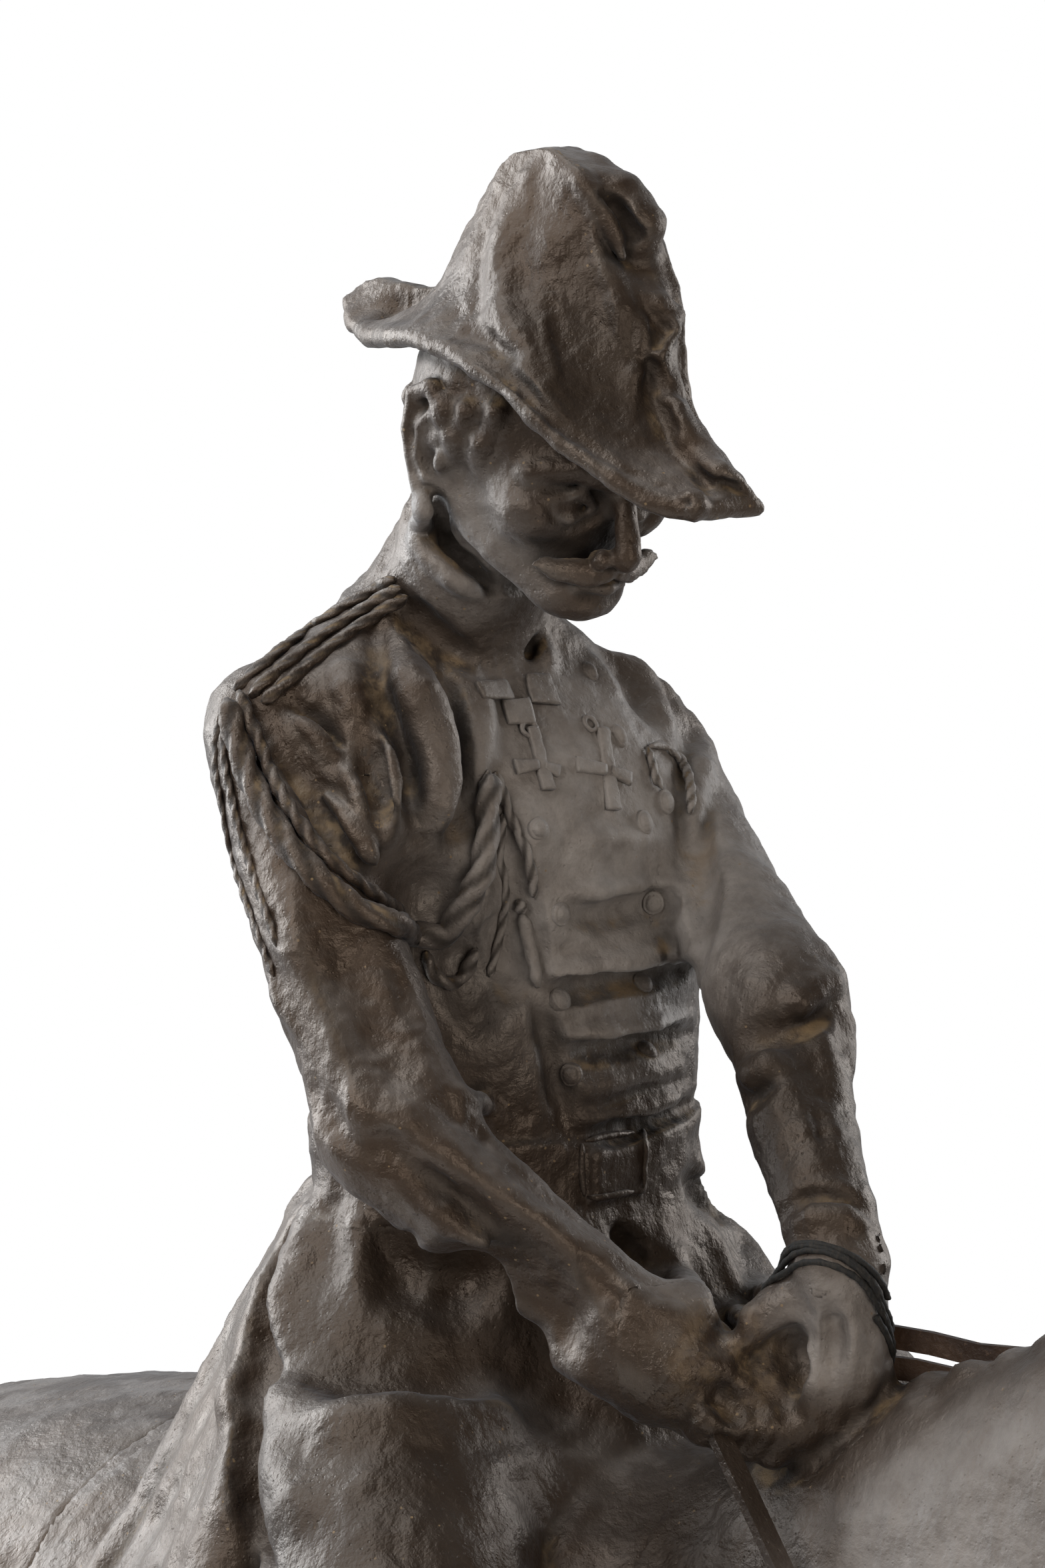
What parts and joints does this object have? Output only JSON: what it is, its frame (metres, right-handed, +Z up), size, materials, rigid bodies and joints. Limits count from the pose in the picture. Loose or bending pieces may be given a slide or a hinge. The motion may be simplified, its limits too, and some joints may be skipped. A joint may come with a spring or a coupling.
{
  "type": "equestrian statuette",
  "caption": "Bronze statuette of an officer in a cocked hat and braided tunic, hands crossed, seated on a standing horse, on a low rectangular plinth.",
  "frame": {"origin": "middle of the plinth's underside", "axes": "+X is the way the horse faces, +Y is its left side, +Z is up"},
  "size_m": [0.6069, 0.2064, 0.6507],
  "materials": {
    "bronze": "dark brown patina over cast bronze, satin, with ochre dust in the hollows",
    "leather": "thin dark brown strap",
    "cord": "near-black twisted thread"
  },
  "bodies": {
    "root": {"plinth": "bronze", "horse_and_rider": "bronze", "rein_left": "leather", "rein_right": "leather", "wrist_cord": "cord", "riding_whip": "bronze"}
  },
  "joints": []
}
